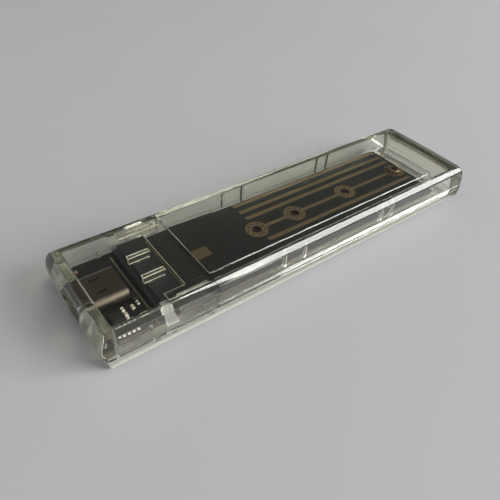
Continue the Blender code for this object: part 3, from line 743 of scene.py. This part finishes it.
# Open drilled hole, as painted shade: a dark disc where no light comes back
HOLE_SHADE = solid_finish("painted_hole_shade", "#141412", 0.6)

CLEAR_NODES = ("tray", "head_cover", "sliding_lid")
NODE_FINISHES = {
    "main_board": MASK,
    "usb_shell": STEEL,
    "m2_socket": SOCKET,
    "usb_blade": SOCKET,
    "card_nut": BRASS,
    "activity_lamp": LAMP,
}


def dress_nodes():
    """Finishes of the CAD nodes that stay; those without one of their own are chips and the like."""
    for node in NODES:
        if node.startswith("capacitor"):
            dress(NODES[node], CERAMIC)
        elif node not in CLEAR_NODES:
            dress(NODES[node], NODE_FINISHES.get(node, RESIN))


# Lid
def lid_loop(z, top):
    """Outline of the lid at height z, from its rounded end to the slanted split."""
    far, half = far_side(z, top)
    return open_end(far, split_at(z), half, z)


def panel_loop(t, shoulder):
    """Outline of the raised panel's edge, t from 0 at the shoulder to 1 at the top. It rises as a
    smooth cubic step while the outline draws in evenly, and its straight edge at the split leads away."""
    grow = PANEL_FLARE * (1 - t)
    rise = t * t * (3 - 2 * t)
    half = PANEL_HALF + grow
    far = end_plan(PANEL_END + grow, half, PANEL_BOW, PANEL_R + grow)
    return open_end(far, SPLIT_X + PANEL_LEAD * t, half, shoulder + PANEL_STEP * rise)


def lid_hollow(z, r=0.0):
    """Section of the lid's hollow at height z, drawn in by r; its end wall thickens evenly upwards."""
    draft = END_DRAFT * (z - PARTING) / (LID_CEILING - PARTING)
    far = end_plan(INNER_X1 - draft - r, INNER_HALF - r, INNER_BOW, INNER_R)
    return open_end(far, SPLIT_X - MOUTH_PAST, INNER_HALF - r, z)


def lid_form():
    """Outer form, shoulder and raised panel of the lid in one skin."""
    shoulder = LID_TOP - PANEL_STEP
    edge_top = shoulder - SHOULDER_DROP
    loops = [lid_loop(z, edge_top) for z in wall_levels(edge_top)]
    return skin(loops + [panel_loop(t, shoulder) for t in np.linspace(0, 1, 9)])


def tongue_plate():
    """Tongue: a straight front edge with a small lead, then flat to the split, and a long straight
    ramp up into the lid's ceiling."""
    joint = LID_CEILING + BITE
    ramp_end = SPLIT_X + TONGUE_RAMP
    section = [
        (TONGUE_X, TONGUE_LOW), (SPLIT_X, TONGUE_LOW), (ramp_end, LID_CEILING - WELD), (ramp_end, joint),
        (split_at(joint) + WELD, joint), (split_at(PLATE_TOP) + WELD, PLATE_TOP),
        (TONGUE_X + TONGUE_LEAD, PLATE_TOP), (TONGUE_X, PLATE_TOP - TONGUE_LEAD)]
    return prism(section, -TONGUE_HALF, TONGUE_HALF, "Y")


def tongue_arm(side):
    """Arm beside the tongue, with a chamfer round its top."""
    levels = ((TONGUE_LOW + ARM_RAISE, 0.0), (TONGUE_TOP - EDGE_BREAK, 0.0), (TONGUE_TOP, EDGE_BREAK))
    return stepped_block(ARM_X0, ARM_X1, side * ARM_INNER_Y, side * TONGUE_HALF, levels)


def guide_span(side):
    """Inner and outer place of a guide block in Y, lower one first."""
    return sorted((side * (TONGUE_HALF - GUIDE_T), side * (TONGUE_HALF - GUIDE_SETBACK)))


def guide_block(side):
    """Block under an arm that guides the lid along the tray's wall, with a slanted far face."""
    top = PLATE_TOP - PLATE_DROP
    outline = [
        (GUIDE_X0, GUIDE_FOOT_Z), (GUIDE_FOOT_X1, GUIDE_FOOT_Z), (GUIDE_TOP_X1, top), (GUIDE_X0, top)]
    return prism(outline, *guide_span(side), "Y")


def collar(side):
    """Frosted band round the head of a guide block, under the arm; its white haze also paints the bright band
    along the block's top edge, a painted highlight.
    """
    levels = ((TONGUE_LOW - COLLAR_DROP, 0.0), (TONGUE_LOW + COLLAR_RISE, 0.0))
    inner, outer = side * (TONGUE_HALF - COLLAR_T), side * (TONGUE_HALF - WELD)
    return stepped_block(COLLAR_X0, COLLAR_X1, inner, outer, levels)


def lid_rib(at, side):
    """Upright rib on a side wall, narrower at its tip."""
    x = DATUM + at
    tip_y = side * (INNER_HALF - RIB_DEPTH)
    root_y = side * (INNER_HALF + BITE)
    foot = [
        (x - RIB_W / 2, root_y), (x + RIB_W / 2, root_y),
        (x + RIB_TIP_W / 2, tip_y), (x - RIB_TIP_W / 2, tip_y)]
    return prism(turned_over(foot, side > 0), RIB_FOOT_Z, LID_CEILING + BITE)


def lid_runner(side):
    """Runner along the foot of a side wall, with slanted ends."""
    tip, root = side * RUNNER_TIP_Y, side * RUNNER_ROOT_Y
    plan = [(RUNNER_LEAD_X0, tip), (RUNNER_LEAD_X1, tip), (RUNNER_X1, root), (RUNNER_X0, root)]
    return prism(turned_over(plan, side > 0), PARTING + RUNNER_LIFT, PARTING + RUNNER_TOP)


def mark_lid():
    """Finish zones of the tongue, its arms, collars and guide blocks, each a little past its faces.
    A collar comes before the block inside it, and the tongue's front face comes last."""
    full = (-TONGUE_HALF, TONGUE_HALF)
    # Painted highlight: the tongue's lead, the arms' top chamfers and the guide blocks' end faces get the
    # milky white finish that stands for their glints
    finish_zone(PAINTED_GLINT, TONGUE_X, TONGUE_X + TONGUE_LEAD, *full, PLATE_TOP - TONGUE_LEAD, PLATE_TOP)
    for side in SIDES:
        outer = side * TONGUE_HALF
        arm_y = (side * (ARM_INNER_Y - ZONE_PAST), outer)
        arm_left = ARM_X0 - ZONE_PAST
        arm_foot = TONGUE_LOW + ARM_RAISE - ZONE_TIGHT
        collar_x = (COLLAR_X0 - ZONE_PAST, COLLAR_X1 + ZONE_PAST)
        collar_y = (side * (TONGUE_HALF - COLLAR_T - ZONE_PAST), outer)
        guide_y = guide_span(side)
        guide_z = (GUIDE_FOOT_Z - ZONE_PAST, TONGUE_LOW)
        finish_zone(PAINTED_GLINT, arm_left, ARM_X1, *arm_y, TONGUE_TOP - EDGE_BREAK, TONGUE_TOP)
        finish_zone(POLISHED, arm_left, TONGUE_X, *arm_y, arm_foot, TONGUE_TOP)
        finish_zone(BLASTED, *collar_x, *collar_y, TONGUE_LOW - COLLAR_DROP, TONGUE_LOW)
        finish_zone(PAINTED_GLINT, GUIDE_TOP_X1 - ZONE_PAST, GUIDE_FOOT_X1 + ZONE_PAST, *guide_y, *guide_z)
        finish_zone(PAINTED_GLINT, GUIDE_X0 - ZONE_PAST, GUIDE_X0 + ZONE_PAST, *guide_y, *guide_z)
    finish_zone(POLISHED, TONGUE_X - ZONE_TIGHT, TONGUE_X + ZONE_TIGHT, *full, TONGUE_LOW, TONGUE_TOP)


def clear_lid():
    """Sliding lid of clear polycarbonate, formed as the CAD model's with a rounded panel step."""
    lid = mesh_object("clear_lid", [lid_form()])
    boolean(lid, [filleted_cavity(lid_hollow, LID_CEILING, LID_FILLET)], "DIFFERENCE")
    boolean(lid, [tongue_plate()], "UNION")
    for fitting in (tongue_arm, guide_block, collar):
        boolean(lid, [fitting(side) for side in SIDES], "UNION")
    boolean(lid, [lid_rib(at, side) for at in RIB_AT for side in SIDES], "UNION")
    boolean(lid, [lid_runner(side) for side in SIDES], "UNION")
    mark_lid()
    soften(lid)
    lay_clear(lid)
    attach(lid, "lid")
    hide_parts("sliding_lid")


# Head cover
def head_loop(z, top):
    """Outline of the head cover at height z, from the split's near side round the port end."""
    port, half = port_side(z, top)
    return open_end(port, split_at(z) - 2 * HAIRLINE, -half, z)


def head_hollow(z, r=0.0):
    """Section of the head cover's hollow at height z, drawn in by r."""
    port = port_plan(INNER_X0 + r, INNER_HALF - r, PORT_INNER_BOW, INNER_R)
    return open_end(port, SPLIT_X + MOUTH_PAST, r - INNER_HALF, z)


def port_opening():
    """Cutting solid for the port: the receptacle's rounded section with its clearance."""
    outline = rounded(PORT_W + 2 * PORT_FIT, PORT_H + 2 * PORT_FIT, PORT_R + PORT_FIT, 8, 0.0, PORT_Z)
    return prism(outline, X_LEFT - CUT_PAST, INNER_X0 + PORT_CUT_PAST, "X")


def holding_bar(y):
    """Bar under the roof that holds the socket down."""
    return hung_block(BAR_X0, BAR_X1, y - BAR_HALF, y + BAR_HALF, BAR_FOOT, HEAD_CEILING)


def stop_span(side):
    """Inner face and root of a slanted stop in Y, lower one first."""
    return sorted((side * (INNER_HALF - STOP_DEPTH), side * (INNER_HALF + STOP_ROOT)))


def slanted_stop(side):
    """Stop on a side wall, leaning towards the port as it rises."""
    top = HEAD_CEILING + BITE
    foot = [(x, STOP_FOOT_Z) for x in STOP_FOOT]
    face = foot + [(x, top) for x in reversed(STOP_TOP)]
    return prism(face, *stop_span(side), "Y")


def mark_head():
    """Finish zones of the bars and stops: painted highlight on the broken edges and left ends, polished
    sides, and frosted stops. The narrow painted highlight zones come before the polished one that holds them."""
    for y in BAR_Y:
        across = (y - BAR_HALF - ZONE_PAST, y + BAR_HALF + ZONE_PAST)
        around = (BAR_X0 - ZONE_PAST, BAR_X1 + ZONE_PAST, *across)
        left_end = (BAR_X0 - ZONE_PAST, BAR_X0 + ZONE_PAST, *across)
        finish_zone(PAINTED_GLINT, *around, BAR_FOOT, BAR_FOOT + EDGE_BREAK)
        finish_zone(PAINTED_GLINT, *around, HEAD_CEILING - EDGE_BREAK, HEAD_CEILING)
        finish_zone(PAINTED_GLINT, *left_end, BAR_FOOT, HEAD_CEILING)
        finish_zone(POLISHED, *around, BAR_FOOT, HEAD_CEILING)
    for side in SIDES:
        y0, y1 = stop_span(side)
        stop_x = (STOP_TOP[0] - ZONE_PAST, STOP_FOOT[1] + ZONE_PAST)
        stop_y = (y0 - ZONE_PAST, y1 + ZONE_PAST)
        finish_zone(BLASTED, *stop_x, *stop_y, STOP_FOOT_Z - ZONE_PAST, HEAD_CEILING)


def clear_head():
    """Head cover of clear polycarbonate over the port end, formed as the CAD model's."""
    head = mesh_object("clear_head", [skin([head_loop(z, HEAD_TOP) for z in wall_levels(HEAD_TOP)])])
    boolean(head, [filleted_cavity(head_hollow, HEAD_CEILING, HEAD_FILLET)], "DIFFERENCE")
    boolean(head, [port_opening()], "DIFFERENCE")
    boolean(head, [holding_bar(y) for y in BAR_Y], "UNION")
    boolean(head, [slanted_stop(side) for side in SIDES], "UNION")
    mark_head()
    soften(head)
    lay_clear(head)
    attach(head, "base")
    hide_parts("head_cover")


# Tray
def tray_form():
    """Shallow shell below the parting line, its foot a quarter round."""
    turns = np.linspace(0, math.pi / 2, 7)
    foot = FOOT_EDGE_R * (1 - np.cos(turns))
    wall = np.linspace(FOOT_EDGE_R, PARTING - RIM_R, 4)[1:]
    edge = np.linspace(PARTING - RIM_R, PARTING, 6)[1:]
    loops = []
    for z in np.r_[foot, wall, edge]:
        loops.append(at_height(np.vstack([far_side(z, LID_TOP)[0], port_side(z, LID_TOP)[0]]), z))
    return skin(loops)


def tray_hollow(z, r=0.0):
    """Section of the tray's hollow at height z, drawn in by r."""
    far = end_plan(INNER_X1 - r, INNER_HALF - r, INNER_BOW, INNER_R)
    port = port_plan(INNER_X0 + r, INNER_HALF - r, PORT_INNER_BOW, INNER_R)
    return at_height(np.vstack([far, port]), z)


def tray_cavity():
    """Hollow open above, its floor's edge drawn in along a quarter circle of the fillet's radius."""
    loops = []
    for t in np.linspace(0, math.pi / 2, 4):
        loops.append(tray_hollow(FLOOR + TRAY_FILLET * (1 - math.cos(t)), TRAY_FILLET * (1 - math.sin(t))))
    return skin(loops + [tray_hollow(PARTING + CUT_PAST)])


def tray_rail(side):
    """Rail under the board's edge, with a lower outer step for the lid's runner."""
    section = [
        (RAIL_INNER_Y, FLOOR - BITE), (RAIL_OUTER_Y, FLOOR - BITE), (RAIL_OUTER_Y, PARTING),
        (RAIL_STEP_Y, PARTING), (RAIL_STEP_Y, RAIL_TOP), (RAIL_INNER_Y, RAIL_TOP)]
    section = [(side * y, z) for y, z in section]
    return prism(turned_over(section, side < 0), RAIL_X0, RAIL_X1, "X")


def board_stop(side):
    """Upright stop behind the board's far edge, thicker at its foot."""
    x, y = BOARD_X1 + FIT, side * BOARD_STOP_Y
    top = BOARD_TOP + BOARD_STOP_RISE
    face = [(x, FLOOR - BITE), (x + BOARD_STOP_FOOT_T, FLOOR - BITE), (x + BOARD_STOP_T, top), (x, top)]
    return prism(face, y - BOARD_STOP_HALF, y + BOARD_STOP_HALF, "Y")


def ledge(side):
    """Round-cornered ledge that carries the board beside the port."""
    outline = rounded(LEDGE_L, LEDGE_W, LEDGE_R, 4, LEDGE_X, side * (BOARD_HALF - LEDGE_INSET))
    return prism(outline, FLOOR - BITE, RAIL_TOP)


def pin(side):
    """Round pin at the board's edge."""
    return prism(circle(PIN_R, 20, PIN_X, side * PIN_Y), FLOOR - BITE, BOARD_TOP + PIN_RISE)


def pin_ball(side):
    """Ball on top of a pin."""
    return ball(PIN_BALL_R, PIN_X, side * PIN_Y, BOARD_TOP + PIN_BALL_RISE)


def tab_pocket(at, length, side):
    """Pocket in the tray's rim for one of the head cover's snap tabs."""
    x = DATUM + at
    y0, y1 = sorted((side * (INNER_HALF - FIT), side * (INNER_HALF + POCKET_DEPTH)))
    return box(x - length / 2, x + length / 2, y0, y1, POCKET_FOOT_Z, PARTING + CUT_PAST)


def clear_tray():
    """Tray of clear polycarbonate, formed as the CAD model's."""
    tray = mesh_object("clear_tray", [tray_form()])
    boolean(tray, [tray_cavity()], "DIFFERENCE")
    boolean(tray, [tray_rail(side) for side in SIDES], "UNION")
    boolean(tray, [fitting(side) for side in SIDES for fitting in (board_stop, ledge, pin)], "UNION")
    boolean(tray, [pin_ball(side) for side in SIDES], "UNION")
    boolean(tray, [tab_pocket(*place, side) for place in POCKET_AT for side in SIDES], "DIFFERENCE")
    soften(tray)
    lay_clear(tray)
    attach(tray, "base")
    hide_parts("tray")


# Detail on the board
def on_board(name, solids, mat):
    """Piece of solids that rides on the base and has one finish."""
    obj = mesh_object(name, solids)
    dress(obj, mat)
    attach(obj, "base")


def via_holes():
    """Ring of small drilled holes at equal turns round each screw land, and a grid on the square pad, each a
    thin dark disc of painted shade.
    """
    solids = []
    z = BOARD_TOP + LAND_RISE
    for length in CARD_LENGTHS:
        for k in range(VIA_COUNT):
            a = 2 * math.pi * (k + VIA_TURN) / VIA_COUNT
            place = (DATUM + length + VIA_RING_R * math.cos(a), VIA_RING_R * math.sin(a))
            solids.append(prism(circle(VIA_R, 12, *place), z, z + DRILL_T))
    z = BOARD_TOP + TRACK_RISE
    for x in np.arange(*DOT_X, DOT_PITCH):
        for y in np.arange(*DOT_Y, DOT_PITCH):
            solids.append(prism(circle(DOT_R, 8, DATUM + x, y), z, z + DRILL_T))
    on_board("via_holes", solids, HOLE_SHADE)


def printed_lines():
    """Thin printed outline round one corner of the socket's place."""
    z, w = BOARD_TOP + PRINT_LIFT, PRINT_HALF_W
    solids = [
        box(PRINT_X - w, PRINT_X + w, PRINT_Y0, PRINT_Y1, z, z + PRINT_T),
        box(PRINT_X, PRINT_X1, PRINT_Y0 - w, PRINT_Y0 + w, z, z + PRINT_T)]
    on_board("printed_lines", solids, PRINT)


def socket_contacts():
    """Sprung contacts in the socket's open side and its soldered tails, both at the socket's pitch."""
    solids = []
    front, back, top = SOCKET_HIGH[0], SOCKET_LOW[0], SOCKET_HIGH[2]
    for y in np.arange(*CONTACT_Y, PITCH):
        solids.append(box(front - CONTACT_BACK, front + CONTACT_OUT, y - CONTACT_HALF_W, y + CONTACT_HALF_W,
                          top - CONTACT_DROP, top + CONTACT_LIFT))
    for y in np.arange(*TAIL_Y, PITCH):
        solids.append(box(back - TAIL_OUT, back + TAIL_IN, y - TAIL_HALF_W, y + TAIL_HALF_W,
                          BOARD_TOP, BOARD_TOP + TAIL_T))
    on_board("socket_contacts", solids, GOLD)


def tinned_ends():
    """Bright caps over both ends of the small capacitors and resistors on the near side of the board.
    The one on the far side has no caps."""
    solids = []
    for node in NODES:
        low, high = span(node)
        if not node.startswith(("capacitor", "resistor")) or low[1] > 0.0:
            continue
        along = 0 if high[0] - low[0] > high[1] - low[1] else 1
        cap = CAP_SHARE * (high[along] - low[along])
        for start in (low[along] - CAP_LIFT, high[along] + CAP_LIFT - cap):
            a, b = low - CAP_LIFT, high + CAP_LIFT
            a[along], b[along] = start, start + cap
            solids.append(box(a[0], b[0], a[1], b[1], low[2] + CAP_CLEAR, b[2]))
    on_board("tinned_ends", solids, TIN)


# Stage, light and camera
TABLE_HALF = 1.5
TABLE_DROP = 0.08
CLOUD_MM = 60.0


def laminate_table():
    """Pale matt laminate, pressed smooth: an even light grey with the faintest slow clouding."""
    mat, tree = blank("pressed_laminate")
    coord = add(tree, "ShaderNodeTexCoord")
    cloud = add(tree, "ShaderNodeTexNoise", {
        "Vector": coord.outputs["Object"], "Scale": per_metre(CLOUD_MM), "Detail": 2.0})
    shade = add(tree, "ShaderNodeMixRGB", {
        "Fac": cloud.outputs["Fac"], "Color1": hex_linear("#B6B6B7"), "Color2": hex_linear("#B2B2B4")})
    body = add(tree, "ShaderNodeBsdfPrincipled", {"Base Color": shade.outputs["Color"], "Roughness": 0.75})
    add(tree, "ShaderNodeOutputMaterial", {"Surface": body.outputs["BSDF"]})
    return mat


def table_top():
    """Table under the case: one square face just below its feet."""
    side, low = TABLE_HALF, -TABLE_DROP * MM
    corners = [(-side, -side, low), (side, -side, low), (side, side, low), (-side, side, low)]
    mesh = bpy.data.meshes.new("table_top")
    mesh.from_pydata(corners, [], [(0, 1, 2, 3)])
    mesh.materials.append(laminate_table())
    link("table_top", mesh)


# Window: direction from the case, distance, width and height in metres, and watts
WINDOW_TOWARD = (0.62, -0.62, 0.38)
WINDOW_AWAY = 1.6
WINDOW_W = 1.12
WINDOW_H = 1.2
WINDOW_WATTS = 43.5


def window():
    """Rectangular lamp placed along a direction from the case, turned to face it."""
    data = bpy.data.lights.new("window", "AREA")
    data.shape = "RECTANGLE"
    data.size = WINDOW_W
    data.size_y = WINDOW_H
    data.energy = WINDOW_WATTS
    lamp = link("window", data)
    direction = Vector(WINDOW_TOWARD).normalized()
    lamp.location = direction * WINDOW_AWAY
    lamp.rotation_mode = "QUATERNION"
    lamp.rotation_quaternion = (-direction).to_track_quat("-Z", "Y")


# Dark card in the room: its direction, and the cosines from it at which it starts and is darkest
DARK_CARD_TOWARD = (0.485, 0.568, 0.665)
DARK_CARD_START = 0.72
DARK_CARD_FULL = 0.93
ROOM_STRENGTH = 0.7


def room_light():
    """Pale room all round, with a dark card where the flat tops mirror it to the camera. The room's
    tone turns to the card's in a straight line of the cosine between a direction and the card's."""
    world = bpy.data.worlds.new("room")
    bpy.context.scene.world = world
    world.use_nodes = True
    tree = world.node_tree
    tree.nodes.clear()
    coord = add(tree, "ShaderNodeTexCoord")
    toward = add(tree, "ShaderNodeVectorMath", {
        0: coord.outputs["Generated"], 1: DARK_CARD_TOWARD}, operation="DOT_PRODUCT")
    card = add(tree, "ShaderNodeMapRange", {
        "Value": toward.outputs["Value"], "From Min": DARK_CARD_START, "From Max": DARK_CARD_FULL})
    tone = add(tree, "ShaderNodeMixRGB", {
        "Fac": card.outputs["Result"], "Color1": hex_linear("#D8DADC"), "Color2": hex_linear("#4A4B4C")})
    sky = add(tree, "ShaderNodeBackground", {"Color": tone.outputs["Color"], "Strength": ROOM_STRENGTH})
    add(tree, "ShaderNodeOutputWorld", {"Surface": sky.outputs["Background"]})


# Camera, fitted to the screw lands
CAMERA_PLACE = (DATUM - 31.555, -70.288, 81.572)

# Its heading from +Y towards +X, how far it looks down, and its roll, in degrees
CAMERA_HEADING = 40.494
CAMERA_DOWN = 41.677
CAMERA_ROLL = 5.388

# Its sensor's width, which is also the length of its lens, and how near it sees, in metres
CAMERA_SENSOR = 36.0
CAMERA_NEAR = 0.005


def camera():
    """Camera turned by its heading, then down, then rolled: the level right and upright axes are
    turned into each other by the roll."""
    heading, down, roll = [math.radians(a) for a in (CAMERA_HEADING, CAMERA_DOWN, CAMERA_ROLL)]
    level = Vector((math.cos(heading), -math.sin(heading), 0.0))
    ahead = Vector((math.sin(heading), math.cos(heading), 0.0)) * math.cos(down)
    ahead.z = -math.sin(down)
    upright = level.cross(ahead)
    right = level * math.cos(roll) + upright * math.sin(roll)
    up = upright * math.cos(roll) - level * math.sin(roll)
    eye = Vector(CAMERA_PLACE) * MM
    data = bpy.data.cameras.new("camera")
    data.sensor_width = CAMERA_SENSOR
    data.sensor_height = CAMERA_SENSOR
    data.lens = CAMERA_SENSOR
    data.clip_start = CAMERA_NEAR
    view = link("camera", data)
    columns = [(*axis, 0.0) for axis in (right, up, -ahead)] + [(*eye, 1.0)]
    view.matrix_world = Matrix(columns).transposed()
    bpy.context.scene.camera = view


dress_nodes()
clear_lid()
clear_head()
clear_tray()
via_holes()
printed_lines()
socket_contacts()
tinned_ends()
table_top()
window()
room_light()
camera()
bpy.context.scene.view_settings.view_transform = "Standard"
